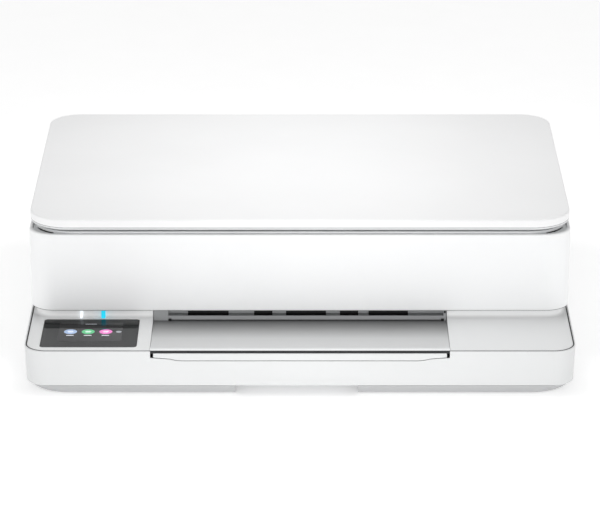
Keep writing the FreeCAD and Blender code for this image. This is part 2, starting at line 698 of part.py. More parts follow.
def make_tray():
    """Paper well, and the full-width fascia that wraps round both front corners."""
    floor_low = size("tray_floor", 8.2)
    inner = tray_half - 1.8
    mass = box("tray_block", (-tray_half, tray_half), (front + 2.4, tray_back), (floor_low, 26))
    well = box("tray_well", (-inner, inner), (front + 4.4, tray_back - 2), (floor_low + 1.8, 30))
    low_end = box("tray_low_end", (-inner, inner), (tray_back - 3, tray_back + 1), (19.5, 30))
    hub = rod("pinion_hub", "z", (0, rack_y, floor_low + 1), 2.5, 4.8)
    keep("paper_tray", fuse("tray", cut("tray_shell", mass, well, low_end), hub))
    outer = base_outline("fascia_outer")
    round_rim(outer, size("fascia_edge", 0.5), deck_level)
    hollow = rounded_plate("fascia_hollow", (-half + wall, half - wall), (front + wall, front + 90),
                           (0, deck_level - wall - gap), base_corner - wall)
    ledge = rounded_plate("fascia_ledge", (-half + 1, half - 1), (front + 1, front + 90),
                          (deck_level - wall - gap - 0.1, 50), base_corner - 1)
    tail = box("fascia_tail", (-half - 1, half + 1), (fascia_end, back + 1), (0, 60))
    notch = outline_block("fascia_notch", lip_outline(0.6, notch_drop, 50), (front - 1, front + 8))
    floor = rounded_plate("fascia_floor", (-half + 1.5, half - 1.5), (front + 1.5, front + 80),
                          (floor_low, floor_low + 2), base_corner - 1.5)
    under = box("fascia_middle", (-tray_half, tray_half), (front + 2.4, 0), (0, 26))
    rear = box("fascia_rear", (-half, half), (fascia_end - 2, 0), (0, 60))
    flange = cut("fascia_flange", floor, under, rear)
    keep("tray_fascia", fuse("fascia", cut("fascia_shell", outer, hollow, ledge, tail, notch), flange))


rack_y = size("rack_y", -30)
notch_drop = size("notch_drop", 0.55)


def lip_outline(inset, drop, top):
    """Outline of the extender's lip seen from the front: flat in the middle, stepped up at both ends."""
    bends = [(107.5, 31.1), (101.6, 30.5), (97.1, 29.5), (92.6, 29.1)]
    end = bay_half - inset
    left = [(-end, top), (-end, 31.7 - drop)] + [(-x, z - drop) for x, z in bends]
    right = [(x, z - drop) for x, z in reversed(bends)] + [(end, 31.7 - drop), (end, top)]
    return left + right


def make_extender():
    """Pull-out support: thin plate under the output plate, with the white lip in the tray's notch."""
    bar = outline_block("extender_lip", lip_outline(3, 0, 34.9), (front + 0.3, front + 2.1))
    plate = box("extender_plate", (-94, 94), (front + 2, -62), (29.1, 30.5))
    keep("tray_extender", fuse("extender", bar, plate))


def make_width_guides():
    """Two paper guides on toothed racks, driven in opposite ways by one pinion on the tray's floor."""
    radius = size("rack_pinion_radius", 8).value
    teeth = 16
    pitch = 2 * math.pi * radius / teeth
    floor = 10.2
    for node, side in (("width_guide_left", -1), ("width_guide_right", 1)):
        inner = sheet_half * side
        outer = inner + 2 * side
        low, high = (inner, outer) if side > 0 else (outer, inner)
        blade = box(node + "_blade", (low, high), (-120, 60), (13, 23.5))
        line = rack_y.value + side * radius
        rack_low = line + side * 1.25 - (5 if side < 0 else 0)
        rack = Part.makeBox(112, 5, 2.4, Vector(-108 if side < 0 else -4, rack_low, floor))
        for i in range(-1, 19):
            start = side * (i + 0.5) * pitch
            base_y = line + side * 1.25
            tip_y = line - side * 0.85
            root = [(start - 0.95, base_y), (start + 0.95, base_y)]
            tip = [(start + 0.4, tip_y), (start - 0.4, tip_y)]
            points = [Vector(x, y, floor) for x, y in root + tip]
            tooth = Part.Face(Part.makePolygon(points + points[:1])).extrude(Vector(0, 0, 2.4))
            rack = rack.fuse(tooth)
        strip = doc.addObject("Part::Feature", node + "_rack")
        strip.Shape = rack.removeSplitter()
        near, far = sorted((line + side * 1.25, line + side * 6.25))
        foot = box(node + "_foot", (low, high), (near, far), (floor, 13))
        keep(node, fuse(node + "_moulding", blade, strip, foot))
    points = []
    for tooth in range(teeth):
        for share, reach in ((-0.28, -1.1), (-0.11, 0.85), (0.11, 0.85), (0.28, -1.1)):
            angle = (tooth + share) * 2 * math.pi / teeth + math.pi / 2
            points.append(Vector((radius + reach) * math.cos(angle), (radius + reach) * math.sin(angle), 0))
    points.append(points[0])
    wheel = Part.Face(Part.makePolygon(points)).extrude(Vector(0, 0, 2.4))
    wheel = wheel.cut(Part.makeCylinder(2.55, 3))
    pinion = doc.addObject("Part::Feature", "guide_wheel")
    pinion.Shape = wheel
    pinion.Placement = FreeCAD.Placement(Vector(0, rack_y.value, floor), FreeCAD.Rotation())
    keep("guide_pinion", pinion)


# Scanner unit and lid

def make_upper_shell():
    """White casing of the scanner unit: four walls, open below, with soft edges."""
    outer = rounded_plate("unit_outer", (-half + 0.2, half - 0.2), (unit_front, unit_back),
                          (unit_bottom, unit_top), unit_corner, base_corner)
    round_rim(outer, size("unit_top_edge", 1.2), unit_top)
    round_rim(outer, size("unit_low_edge", 0.7), unit_bottom)
    inner = rounded_plate("unit_inner", (-half + 2.7, half - 2.7), (unit_front + 2.5, unit_back - 2.5),
                          (0, 150), unit_corner - 2.5, base_corner - 2.5)
    notches = []
    for x in tower_places:
        notches.append(box("hinge_notch", (x - 16, x + 16), (unit_back - 6, unit_back + 2), (30, 62)))
    keep("upper_shell", cut("unit_casing", outer, inner, *notches))


def make_bed():
    """Scanner bed: a closed tub in the casing with a rim round the platen glass, and the hinge arms."""
    side = half - 3
    tub = rounded_plate("bed_tub", (-side, side), (unit_front + 2.8, unit_back - 2.8),
                        (bed_bottom, unit_top - 1.1), unit_corner - 2.8, base_corner - 2.8)
    rim = rounded_plate("bed_rim", (-side + 0.3, side - 0.3), (unit_front + 3.1, unit_back - 3.1),
                        (unit_top - 3, bed_top), lid_corner, base_corner - 3.1)
    hollow = rounded_plate("bed_hollow", (-side + 3, side - 3), (unit_front + 6, unit_back - 6),
                           (bed_bottom + 2, unit_top - 0.5), 20)
    window = box("bed_window", (glass[0], glass[1]), (glass[2], glass[3]), (unit_top - 2, 130))
    arms = []
    for x in tower_places:
        low = x + 4.5 if x.value > 0 else x - 10.5
        arms.append(box("hinge_arm", (low, low + 6), (unit_axis_y - 5, unit_axis_y + 5),
                        (unit_axis_z, bed_bottom + 1)))
        arms.append(rod("hinge_eye", "x", (low, unit_axis_y, unit_axis_z), 5, 6))
    bores = []
    for x in tower_places:
        low = x + 4 if x.value > 0 else x - 11
        bores.append(rod("arm_bore", "x", (low, unit_axis_y, unit_axis_z), 3 + play, 7))
    knuckles = []
    for x in (-140, 140):
        knuckles.append(box("lid_post", (x - 7, x + 7), (lid_axis_y - 2.2, lid_axis_y + 2.2),
                            (unit_top + 0.1, lid_axis_z)))
        knuckles.append(rod("lid_eye", "x", (x - 7, lid_axis_y, lid_axis_z), 2.6, 14))
        bores.append(rod("lid_bore", "x", (x - 8, lid_axis_y, lid_axis_z), 1.2 + play, 16))
    mass = fuse("bed_mass", cut("bed_opened", fuse("bed_block", tub, rim), hollow, window), *arms, *knuckles)
    keep("scanner_bed", cut("bed", mass, *bores))
    pane = box("pane", (glass[0], glass[1]), (glass[2], glass[3]), (unit_top - 0.5, bed_top - 0.3))
    keep("platen_glass", pane)


bed_bottom = size("bed_bottom", 86)
glass = [size("glass_left", -154), size("glass_right", 156), size("glass_front", -80), size("glass_back", 142)]


def make_scanner():
    """Scan bar on its round rail, inside the bed."""
    rail_z = 92
    keep("scan_rail", rod("scan_rod", "x", (-half + 6, 31, rail_z), 3, width - 12))
    bar = box("bar_block", (-156, -136), (-78, 140), (96, 103))
    shoe = box("bar_shoe", (-154, -138), (24, 38), (89, 97))
    bore = rod("bar_bore", "x", (-160, 31, rail_z), 3 + play, 30)
    slot = box("bar_slot", (-147.5, -144.5), (-74, 136), (101, 104))
    keep("scan_bar", cut("bar", fuse("bar_mass", bar, shoe), bore, slot))


def make_lid():
    """Lid: a crowned cover, the liner under it, white backing foam and two hinge pins."""
    cover = rounded_plate("cover_block", (-half + 0.2, half - 0.2), (unit_front, lid_back),
                          (lid_seam + gap, lid_top), lid_corner, lid_rear_corner)
    round_rim(cover, size("lid_edge", 1.5), lid_top)
    hollow = rounded_plate("cover_hollow", (-half + 3, half - 3), (unit_front + 3, lid_back - 3),
                           (lid_bottom - 1, lid_top - 2), lid_corner - 3, lid_rear_corner - 3)
    lugs = []
    notches = []
    for x in (-140, 140):
        lugs.append(box("cover_lug", (x - 14, x + 14), (lid_axis_y - 4, lid_back - 1),
                        (lid_seam + gap, lid_top - 1.6)))
        notches.append(box("cover_notch", (x - 7.5, x + 7.5), (lid_axis_y - 3.4, lid_back + 3),
                           (lid_bottom - 2, lid_axis_z + 3.2)))
        notches.append(rod("cover_bore", "x", (x - 12, lid_axis_y, lid_axis_z), 1.2, 24))
    shell = fuse("cover_mass", cut("cover_shell", cover, hollow), *lugs)
    keep("lid_cover", cut("cover", shell, *notches))
    liner = rounded_plate("liner_plate", (-half + 0.5, half - 0.5), (unit_front + 0.3, lid_back - 0.4),
                          (lid_bottom, lid_seam + gap), lid_corner - 0.3, lid_rear_corner - 0.3)
    liner_cuts = []
    for x in (-140, 140):
        liner_cuts.append(box("liner_notch", (x - 14.2, x + 14.2), (lid_axis_y - 4.2, lid_back + 3),
                              (lid_bottom - 2, lid_top)))
    keep("lid_liner", cut("liner", liner, *liner_cuts))
    keep("lid_backing", rounded_plate("foam", (-152, 154), (-78, 140), (bed_top + 0.2, lid_bottom), 2))
    pins = [rod("lid_pin", "x", (x - 12, lid_axis_y, lid_axis_z), 1.2, 24) for x in (-140, 140)]
    keep("lid_hinge_pins", group("lid_pins", *pins))


lid_back = size("lid_back", 179.3)


def make_screws():
    """Countersunk casing screws in the floor moulding."""
    screws = []
    for x in (-190, 190):
        for y in (-60, 60):
            screws.append(rod("screw", "z", (x, y, 1.2), 3.2, 1.8))
    keep("casing_screws", group("screws", *screws))


for make in (make_skirt, make_chassis, make_base_shell, make_buttons, make_deck, make_display, make_lights,
             make_output, make_feet, make_frame, make_drive, make_carriage_drive, make_carriage, make_service,
             make_electronics, make_tray, make_extender, make_width_guides, make_upper_shell, make_bed,
             make_scanner, make_lid, make_screws):
    make()

doc.recompute()
for thing in doc.Objects:
    if "Invalid" in thing.State or "Error" in thing.State:
        raise RuntimeError(f"{thing.Label} failed: {thing.State}")
for node, thing in pieces.items():
    if thing.Shape.isNull() or not thing.Shape.isValid():
        raise RuntimeError(f"{node} has no valid shape")

os.makedirs("parts", exist_ok=True)
for node, thing in pieces.items():
    thing.Shape.exportStep(f"parts/{node}.step")
print(len(pieces), "pieces written")
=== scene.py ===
import math
import random

import bmesh
import bpy
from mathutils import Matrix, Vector


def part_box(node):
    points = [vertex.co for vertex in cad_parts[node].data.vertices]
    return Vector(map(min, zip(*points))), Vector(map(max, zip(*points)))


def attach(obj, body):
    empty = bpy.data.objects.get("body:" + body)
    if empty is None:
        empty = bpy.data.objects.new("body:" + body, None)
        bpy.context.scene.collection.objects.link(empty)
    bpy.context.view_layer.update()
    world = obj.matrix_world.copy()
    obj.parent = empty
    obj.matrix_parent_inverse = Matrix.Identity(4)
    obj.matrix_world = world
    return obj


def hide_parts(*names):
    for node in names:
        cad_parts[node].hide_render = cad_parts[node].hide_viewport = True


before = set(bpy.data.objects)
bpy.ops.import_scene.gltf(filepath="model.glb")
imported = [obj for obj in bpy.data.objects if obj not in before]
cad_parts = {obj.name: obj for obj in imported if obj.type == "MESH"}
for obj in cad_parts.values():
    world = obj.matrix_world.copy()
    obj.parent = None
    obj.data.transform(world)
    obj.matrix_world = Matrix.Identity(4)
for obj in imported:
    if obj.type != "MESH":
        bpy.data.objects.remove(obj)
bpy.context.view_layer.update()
scene = bpy.context.scene

# Place to stand: a shelf-height view straight at the front, looking a little down.
# The lens is long, so the casing's sides draw in only slightly towards the back.
look_down = 19.55
eye = bpy.data.objects.new("camera", bpy.data.cameras.new("camera"))
scene.collection.objects.link(eye)
eye.data.lens = 201.945
eye.data.sensor_width = 36
eye.data.clip_end = 20
eye.location = (0, -2.6307, 0.9868)
eye.rotation_euler = (math.radians(90 - look_down), 0, 0)
scene.camera = eye

# Studio: white air all round, a soft box over the lid and a low one before the front.
# A strip at each side lights the casing's rounded corners without washing out its front.
scene.view_settings.view_transform = "Standard"
scene.world = bpy.data.worlds.new("studio_air")
scene.world.use_nodes = True
air = scene.world.node_tree.nodes["Background"]
air.inputs["Color"].default_value = (1.0, 1.0, 1.0, 1.0)
air.inputs["Strength"].default_value = 0.62


def hang_softbox(name, place, aim, width, height, power):
    """Rectangular lamp that faces a point; metres and watts."""
    lamp = bpy.data.lights.new(name, "AREA")
    lamp.shape = "RECTANGLE"
    lamp.size = width
    lamp.size_y = height
    lamp.energy = power
    holder = bpy.data.objects.new(name, lamp)
    scene.collection.objects.link(holder)
    holder.location = place
    holder.rotation_euler = (Vector(aim) - Vector(place)).to_track_quat("-Z", "Y").to_euler()


hang_softbox("overhead_box", (0, 0.02, 0.5), (0, 0.0, 0.12), 0.16, 0.4, 0.92)
hang_softbox("front_box", (0.0, -0.66, 0.07), (0.0, -0.15, 0.07), 0.16, 0.1, 0.8)
hang_softbox("left_strip", (-1.1, -0.2, 0.16), (-0.2, -0.1, 0.06), 0.1, 0.3, 0.9)
hang_softbox("right_strip", (1.1, -0.2, 0.16), (0.2, -0.1, 0.06), 0.1, 0.3, 0.9)


# Paper: one wide white sheet under the printer, with a faint tooth.
# A little light of its own stands for the lamps that real studios put under such a sheet.
def start_material(name):
    """New material, its node tree and its main shader."""
    made = bpy.data.materials.new(name)
    made.use_nodes = True
    return made, made.node_tree, made.node_tree.nodes["Principled BSDF"]


def tint_by(tree, texture, low, high):
    """Colours the main shader between two tints, following a texture."""
    tint = tree.nodes.new("ShaderNodeValToRGB")
    tint.color_ramp.elements[0].color = (*low, 1)
    tint.color_ramp.elements[1].color = (*high, 1)
    tree.links.new(texture.outputs["Fac"], tint.inputs["Fac"])
    tree.links.new(tint.outputs["Color"], tree.nodes["Principled BSDF"].inputs["Base Color"])
    return tint


paper, tree, skin = start_material("studio_paper")
skin.inputs["Roughness"].default_value = 0.85
skin.inputs["Emission Color"].default_value = (1.0, 1.0, 1.0, 1.0)
skin.inputs["Emission Strength"].default_value = 0.37
tooth = tree.nodes.new("ShaderNodeTexNoise")
tooth.inputs["Scale"].default_value = 400.0
tint_by(tree, tooth, (0.9, 0.9, 0.9), (0.94, 0.94, 0.94))
sheet_reach = 8
floor_mesh = bpy.data.meshes.new("studio_floor")
floor_mesh.from_pydata([(-sheet_reach, -sheet_reach, 0), (sheet_reach, -sheet_reach, 0),
                        (sheet_reach, sheet_reach, 0), (-sheet_reach, sheet_reach, 0)], [], [(0, 1, 2, 3)])
floor_mesh.materials.append(paper)
studio_floor = bpy.data.objects.new("studio_floor", floor_mesh)
scene.collection.objects.link(studio_floor)


# Skirt: the pale grey foot moulding that the white casing sits on, with a finger recess in front.
# Injection-moulded and spark-textured, so its gloss is broken by a grain finer than a hair.
def lay_by_object(tree, node):
    """Places a texture by the piece's own coordinates."""
    where = tree.nodes.new("ShaderNodeTexCoord")
    tree.links.new(where.outputs["Object"], node.inputs["Vector"])


def gloss_by(tree, texture, low, high):
    """Varies the roughness between two values, following a texture."""
    gloss = tree.nodes.new("ShaderNodeMapRange")
    gloss.inputs["To Min"].default_value = low
    gloss.inputs["To Max"].default_value = high
    tree.links.new(texture.outputs["Fac"], gloss.inputs["Value"])
    tree.links.new(gloss.outputs["Result"], tree.nodes["Principled BSDF"].inputs["Roughness"])


def relief_by(tree, texture, strength, distance):
    """Raises a faint relief, following a texture."""
    relief = tree.nodes.new("ShaderNodeBump")
    relief.inputs["Strength"].default_value = strength
    relief.inputs["Distance"].default_value = distance
    tree.links.new(texture.outputs["Fac"], relief.inputs["Height"])
    tree.links.new(relief.outputs["Normal"], tree.nodes["Principled BSDF"].inputs["Normal"])


def moulded_plastic(name, colour, roughness, grain=0.12, pitch=0.0005, drift=0.015):
    """Plastic or rubber with a spark grain of a given pitch and a slow drift of tint."""
    made, tree, _ = start_material(name)
    flow = tree.nodes.new("ShaderNodeTexNoise")
    flow.inputs["Scale"].default_value = 9.0
    flow.inputs["Detail"].default_value = 4.0
    lay_by_object(tree, flow)
    tint = tint_by(tree, flow, [c * (1 - drift) for c in colour], [min(1, c * (1 + drift)) for c in colour])
    tint.color_ramp.elements[0].position = 0.3
    tint.color_ramp.elements[1].position = 0.7
    spark = tree.nodes.new("ShaderNodeTexNoise")
    spark.inputs["Scale"].default_value = 1 / pitch
    spark.inputs["Detail"].default_value = 3.0
    lay_by_object(tree, spark)
    gloss_by(tree, spark, max(0.02, roughness - 0.06), roughness + 0.06)
    relief_by(tree, spark, grain, pitch * 0.3)
    return made


def give_finish(material, *names):
    for name in names:
        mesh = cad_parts[name].data
        mesh.materials.clear()
        mesh.materials.append(material)


skirt_grey = moulded_plastic("skirt_grey", (0.46, 0.465, 0.47), 0.5, grain=0.2)
give_finish(skirt_grey, "skirt")

# Rubber feet: four black discs pressed into holes under the skirt, so the printer doesn't creep.
# Soft rubber with a dull, slightly dusty skin.
foot_rubber = moulded_plastic("foot_rubber", (0.022, 0.022, 0.023), 0.82, grain=0.35, pitch=0.0011,
                              drift=0.15)
give_finish(foot_rubber, "rubber_feet")

# Chassis: the unseen floor moulding inside the skirt, with runners for the paper tray.
# Black filled plastic, left as it comes off the tool, and screwed up from below.
inner_black = moulded_plastic("inner_black", (0.03, 0.031, 0.033), 0.55, grain=0.3, pitch=0.0008,
                              drift=0.12)
give_finish(inner_black, "base_chassis")

# Base casing: white side and rear walls in one moulding, whose front is the tray's own fascia.
# A satin white plastic, with a grain that only shows close up; its white is a painted-shade copy, darker than
# the casing's.
base_shaded_white = moulded_plastic("base_shaded_white", (0.7, 0.708, 0.71), 0.34, grain=0.08)
give_finish(base_shaded_white, "base_shell", "tray_fascia")


# Deck: the white top plate of the base, with the neck that rises from it in a small hollow curve.
# Painted shade makes the sparked deck's white darker than the casing's; painted light makes the neck brighter
# above its foot.
def span_along(tree, axis, start, end):
    """Socket that runs from 0 to 1 along one axis of the piece, between two places in metres."""
    place = tree.nodes.new("ShaderNodeSeparateXYZ")
    lay_by_object(tree, place)
    span = tree.nodes.new("ShaderNodeMapRange")
    span.inputs["From Min"].default_value = start
    span.inputs["From Max"].default_value = end
    tree.links.new(place.outputs[axis], span.inputs["Value"])
    return span.outputs["Result"]


deck_shade_and_neck_light = moulded_plastic("deck_shade_and_neck_light", (0.8, 0.808, 0.81), 0.32, grain=0.07)
tree = deck_shade_and_neck_light.node_tree
deck_colour = tree.nodes["Principled BSDF"].inputs["Base Color"]
# Painted light: from the neck's foot upwards the colour blends to a brighter white.
neck_foot, neck_painted_bright = 0.0368, 0.0385
neck_light_mix = tree.nodes.new("ShaderNodeMix")
neck_light_mix.data_type = "RGBA"
mix_factor, mix_low, mix_high, mix_result = 0, 6, 7, 2
neck_light_mix.inputs[mix_high].default_value = (0.97, 0.975, 0.975, 1)
tree.links.new(span_along(tree, "Z", neck_foot, neck_painted_bright), neck_light_mix.inputs[mix_factor])
tree.links.new(deck_colour.links[0].from_socket, neck_light_mix.inputs[mix_low])
tree.links.new(neck_light_mix.outputs[mix_result], deck_colour)
give_finish(deck_shade_and_neck_light, "top_deck")


# Deck shadow line: a thin black strip in the groove between the deck and the casing's rim.
# It is painted shadow, a fine dark line right round the deck where the groove lies in shade.
def add_rings(mesh, rings):
    """Skins a stack of equal rings of points in metres, and closes both ends."""
    rows = [[mesh.verts.new(point) for point in ring] for ring in rings]
    count = len(rows[0])
    for lower, upper in zip(rows, rows[1:]):
        for i in range(count):
            j = (i + 1) % count
            mesh.faces.new((lower[i], lower[j], upper[j], upper[i]))
    mesh.faces.new(list(reversed(rows[0])))
    mesh.faces.new(rows[-1])


def set_down(name, mesh, material, body, smooth=40):
    """Turns mesh data into a piece with its finish and body."""
    bmesh.ops.recalc_face_normals(mesh, faces=mesh.faces)
    data = bpy.data.meshes.new(name)
    mesh.to_mesh(data)
    mesh.free()
    data.materials.append(material)
    for face in data.polygons:
        face.use_smooth = True
    data.set_sharp_from_angle(angle=math.radians(smooth))
    piece = bpy.data.objects.new(name, data)
    scene.collection.objects.link(piece)
    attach(piece, body)
    return piece


def front_loop(half_width, front_y, back_y, corner, steps=10):
    """Points from the left rear, round both front corners, to the right rear."""
    points = [(-half_width, back_y)]
    for centre_x, start in ((-half_width + corner, 180), (half_width - corner, 270)):
        for step in range(steps + 1):
            angle = math.radians(start + 90 * step / steps)
            points.append((centre_x + corner * math.cos(angle),
                           front_y + corner + corner * math.sin(angle)))
    points.append((half_width, back_y))
    return points


def add_strip(mesh, outer, inner, low, high):
    """Flat strip between two loops of points in millimetres, closed at both ends."""
    rings = []
    for (x, y), (inner_x, inner_y) in zip(outer, inner):
        corners = ((x, y, low), (x, y, high), (inner_x, inner_y, high), (inner_x, inner_y, low))
        rings.append([[value / 1000 for value in corner] for corner in corners])
    add_rings(mesh, rings)


# Matt black for the painted shadow lines in the deck's groove and under the tray lip, and for the bed's lining
# card.
shadow_and_lining_black = moulded_plastic("shadow_and_lining_black", (0.025, 0.026, 0.028), 0.8, grain=0.4, pitch=0.0012, drift=0.1)
shadow_line_end = 158.0
groove = bmesh.new()
add_strip(groove, front_loop(215.45, -179.45, shadow_line_end, 17), front_loop(214.75, -178.15, shadow_line_end, 16.2),
          34.6, 36.66)
set_down("deck_shadow_line", groove, shadow_and_lining_black, "root")


# Display: a smoked touch glass let into the deck, with a small colour panel bonded under it.
# The glass is polished and nearly black; the lit panel shows through as a slightly paler field.
def rounded_outline(low, high, corner, steps=7):
    """Points round a rectangle with rounded corners, anticlockwise."""
    corner = max(1e-5, min(corner, (high[0] - low[0]) / 2 - 1e-6, (high[1] - low[1]) / 2 - 1e-6))
    centres = ((high[0] - corner, high[1] - corner, 0), (low[0] + corner, high[1] - corner, 90),
               (low[0] + corner, low[1] + corner, 180), (high[0] - corner, low[1] + corner, 270))
    points = []
    for u, v, start in centres:
        for step in range(steps + 1):
            angle = math.radians(start + 90 * step / steps)
            points.append((u + corner * math.cos(angle), v + corner * math.sin(angle)))
    return points


ACROSS = {"z": (0, 1, 2), "y": (0, 2, 1), "x": (1, 2, 0)}


def add_block(mesh, low, high, corner, edge, along="z"):
    """Block with rounded corners about one axis and softened rims; low and high are millimetres."""
    order = ACROSS[along]
    a, b = [min(low[i], high[i]) for i in order], [max(low[i], high[i]) for i in order]
    turns = [math.radians(quarter * 22.5) for quarter in range(5)]
    profile = [(edge * (1 - math.sin(turn)), edge * (1 - math.cos(turn))) for turn in turns]
    levels = [(inset, a[2] + rise) for inset, rise in profile]
    levels += [(inset, b[2] - rise) for inset, rise in reversed(profile)]
    rings = []
    for inset, level in levels:
        ring = []
        for u, v in rounded_outline((a[0] + inset, a[1] + inset), (b[0] - inset, b[1] - inset),
                                    max(corner - inset, 0.02)):
            place = [0, 0, 0]
            place[order[0]], place[order[1]], place[order[2]] = u / 1000, v / 1000, level / 1000
            ring.append(place)
        rings.append(ring)
    add_rings(mesh, rings)


def add_turned(mesh, centre, profile, along="z", sides=32):
    """Turned shape about an axis, from (distance along the axis, radius) pairs in millimetres."""
    order = ACROSS[along]
    rings = []
    for travel, radius in profile:
        ring = []
        for i in range(sides):
            angle = 2 * math.pi * i / sides
            place = list(centre)
            place[order[0]] += radius * math.cos(angle)
            place[order[1]] += radius * math.sin(angle)
            place[order[2]] += travel
            ring.append([value / 1000 for value in place])
        rings.append(ring)
    add_rings(mesh, rings)


def clear_coated(name, colour, glow=0.0, roughness=0.16, mirror=0.16):
    """Glossy glass or clear plastic with faint smears, that may glow in its own colour."""
    made, tree, skin = start_material(name)
    skin.inputs["Specular IOR Level"].default_value = mirror
    smear = tree.nodes.new("ShaderNodeTexNoise")
    smear.inputs["Scale"].default_value = 250.0
    smear.inputs["Detail"].default_value = 2.0
    lay_by_object(tree, smear)
    gloss_by(tree, smear, roughness - 0.03, roughness + 0.05)
    tint_by(tree, smear, [c * 0.96 for c in colour], [min(1, c * 1.04) for c in colour])
    if glow:
        skin.inputs["Emission Color"].default_value = (*colour, 1)
        skin.inputs["Emission Strength"].default_value = glow
    return made


give_finish(clear_coated("smoked_glass", (0.026, 0.027, 0.028), roughness=0.1), "display_glass")
give_finish(clear_coated("colour_panel", (0.06, 0.062, 0.07), roughness=0.2), "display_panel")
glass_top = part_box("display_glass")[1].z * 1000
under_glass = glass_top - 0.3
# Painted reflection: a darker, less glossy band across the rear of the glass, and a darker head of the panel
# under it, stand for a dark reflection there.
shaded_mirror = 0.05
band_front = -129
band = bmesh.new()
add_block(band, (-203.8, band_front, under_glass), (-128.6, -109.2, glass_top + 0.01), 2.6, 0.01)
set_down("glass_reflection_band", band,
         clear_coated("rear_band", (0.0095, 0.011, 0.0115), roughness=0.13, mirror=shaded_mirror),
         "root")
for field_name, field_back, field_front, shade, mirror in (
        ("screen_field", band_front, -157.6, 0.062, 0.16),
        ("screen_band_reflection", -116.4, band_front, 0.022, shaded_mirror)):
    lit_field = bmesh.new()
    add_block(lit_field, (-191.4, field_front, under_glass), (-140.8, field_back, glass_top + 0.02), 0.3, 0.01)
    field_skin = clear_coated(field_name, (shade, shade, shade * 1.04), roughness=0.12, mirror=mirror)
    set_down(field_name, lit_field, field_skin, "root")
icon_row, caption_back, caption_front = -136.6, -144.2, -145.2
icon_mark = clear_coated("icon_mark", (0.85, 0.88, 0.92), 0.5)
for icon_name, icon_x, icon_colour in (("icon_left", -181.9, (0.36, 0.47, 0.68)),
                                       ("icon_middle", -167.9, (0.12, 0.52, 0.24)),
                                       ("icon_right", -153.9, (0.8, 0.22, 0.56))):
    disc = bmesh.new()
    add_turned(disc, (icon_x, icon_row, glass_top), ((-0.2, 5.1), (0.03, 5.15), (0.05, 5.05)), sides=40)
    set_down(icon_name, disc, clear_coated(icon_name, icon_colour, 0.35), "root")
    mark = bmesh.new()
    for lift, reach in ((-1.3, 1.9), (0, 2.6), (1.3, 1.9)):
        add_block(mark, (icon_x - reach, icon_row - 0.3 + lift, glass_top),
                  (icon_x + reach, icon_row + 0.3 + lift, glass_top + 0.08), 0.25, 0.02)
    add_block(mark, (icon_x - 3, caption_front, glass_top - 0.1), (icon_x + 3, caption_back, glass_top + 0.06),
              0.4, 0.02)
    set_down(icon_name + "_mark", mark, icon_mark, "root")
edge_icon = bmesh.new()
add_turned(edge_icon, (-143.6, icon_row, glass_top), ((-0.2, 2.2), (0.03, 2.25), (0.05, 2.15)), sides=28)
add_block(edge_icon, (-171, -120.2, glass_top - 0.1), (-162, -119.2, glass_top + 0.06), 0.4, 0.02)
set_down("screen_small_marks", edge_icon, clear_coated("small_marks", (0.35, 0.37, 0.4), 0.3), "root")

# Control board: a green circuit board clipped under the glass, with one driver chip.
# Fibreglass laminate; fine copper traces show through the solder mask.
board_green, tree, skin = start_material("board_green")
skin.inputs["Coat Weight"].default_value = 0.35
traces = tree.nodes.new("ShaderNodeTexBrick")
traces.inputs["Scale"].default_value = 260.0
traces.inputs["Color1"].default_value = (0.008, 0.11, 0.045, 1)
traces.inputs["Color2"].default_value = (0.01, 0.14, 0.06, 1)
traces.inputs["Mortar"].default_value = (0.03, 0.26, 0.11, 1)
traces.inputs["Mortar Size"].default_value = 0.03
lay_by_object(tree, traces)
tree.links.new(traces.outputs["Color"], skin.inputs["Base Color"])
weave = tree.nodes.new("ShaderNodeTexNoise")
weave.inputs["Scale"].default_value = 900.0
lay_by_object(tree, weave)
gloss_by(tree, weave, 0.28, 0.45)
relief_by(tree, traces, 0.4, 0.00005)
give_finish(board_green, "control_board", "main_board")


# Status lights: two clear light pipes that come out of the neck just behind the display.
# The lamps under them make one white and one light blue; the glow spills onto the casing.
def lit_pipe(name, colour, strength):
    """Clear plastic lit from behind, with a faint haze in its colour."""
    made, tree, skin = start_material(name)
    skin.inputs["Roughness"].default_value = 0.3
    skin.inputs["Emission Strength"].default_value = strength
    haze = tree.nodes.new("ShaderNodeTexNoise")
    haze.inputs["Scale"].default_value = 300.0
    lay_by_object(tree, haze)
    tint = tint_by(tree, haze, [c * 0.9 for c in colour], colour)
    tree.links.new(tint.outputs["Color"], skin.inputs["Emission Color"])
    return made


give_finish(lit_pipe("pipe_white", (0.9, 0.95, 1.0), 0.6), "status_light_white")
give_finish(lit_pipe("pipe_blue", (0.02, 0.55, 0.75), 0.7), "status_light_blue")

# Output plate and exit guide: the grey catch plate that slopes into the bay, and the guide over it.
# Both are grey mouldings. Painted shade darkens the plate towards the rollers, with a painted highlight on its
# front nose;
# black blocks behind the guide's windows are painted shadow, so the windows look deep.
bay_grey_painted_shade = moulded_plastic("bay_grey_painted_shade", (0.6, 0.61, 0.615), 0.4, grain=0.06)
tree = bay_grey_painted_shade.node_tree
plate_rear, plate_front = -0.107, -0.179
